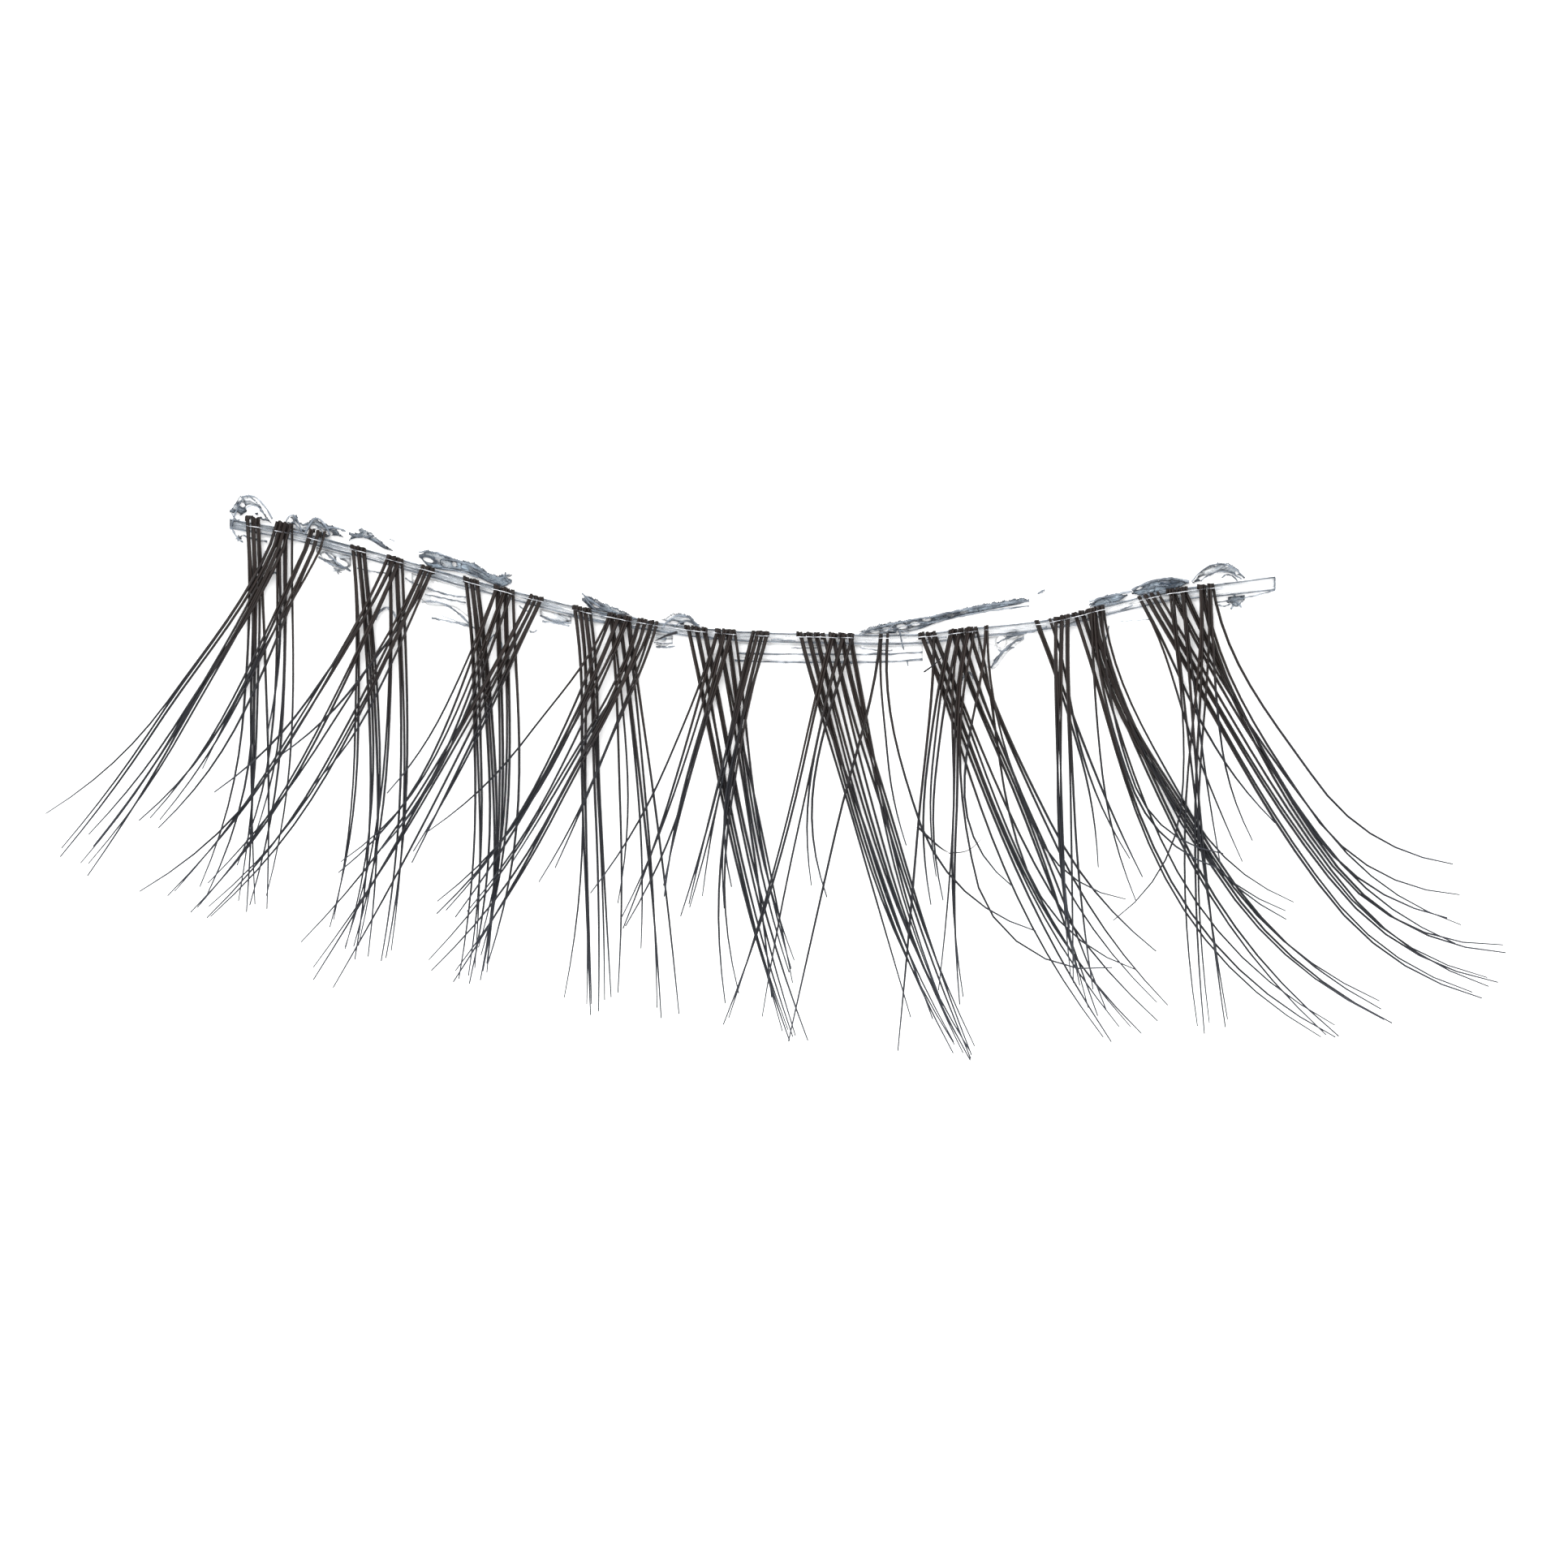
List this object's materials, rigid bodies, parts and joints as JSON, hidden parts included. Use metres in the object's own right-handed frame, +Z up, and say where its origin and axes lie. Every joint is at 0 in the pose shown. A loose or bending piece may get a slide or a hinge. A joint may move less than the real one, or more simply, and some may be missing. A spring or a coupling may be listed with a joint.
{
  "type": "false eyelash strip",
  "caption": "False eyelash strip: dark tapered lashes tied in crossing clusters along a thin clear curved band, with bits of dried adhesive, lying on its back.",
  "frame": {"origin": "bottom centre of the whole strip as it lies on a flat surface", "axes": "+X along the band towards its bare end, +Y from the lash tips towards the band, +Z up"},
  "size_m": [0.0432, 0.0166, 0.0043],
  "materials": {
    "clear film": "clear, glossy",
    "dried adhesive": "clear to grey-blue, glassy",
    "brown-black lash": "dark brown-black fibre, satin"
  },
  "bodies": {
    "root": {"band": "clear film", "lash_cluster_1": "brown-black lash", "lash_cluster_2": "brown-black lash", "lash_cluster_3": "brown-black lash", "lash_cluster_4": "brown-black lash", "lash_cluster_5": "brown-black lash", "lash_cluster_6": "brown-black lash", "lash_cluster_7": "brown-black lash", "lash_cluster_8": "brown-black lash", "lash_cluster_9": "brown-black lash", "adhesive_flake_1": "dried adhesive", "adhesive_flake_2": "dried adhesive", "adhesive_flake_3": "dried adhesive", "adhesive_flake_4": "dried adhesive", "adhesive_flake_5": "dried adhesive", "adhesive_flake_6": "dried adhesive", "adhesive_flake_7": "dried adhesive", "adhesive_flake_8": "dried adhesive", "adhesive_flake_9": "dried adhesive", "adhesive_flake_10": "dried adhesive", "adhesive_film_1": "dried adhesive", "adhesive_film_2": "dried adhesive", "adhesive_film_3": "dried adhesive", "adhesive_film_4": "dried adhesive", "adhesive_film_5": "dried adhesive", "adhesive_film_6": "dried adhesive", "adhesive_film_7": "dried adhesive"}
  },
  "joints": []
}
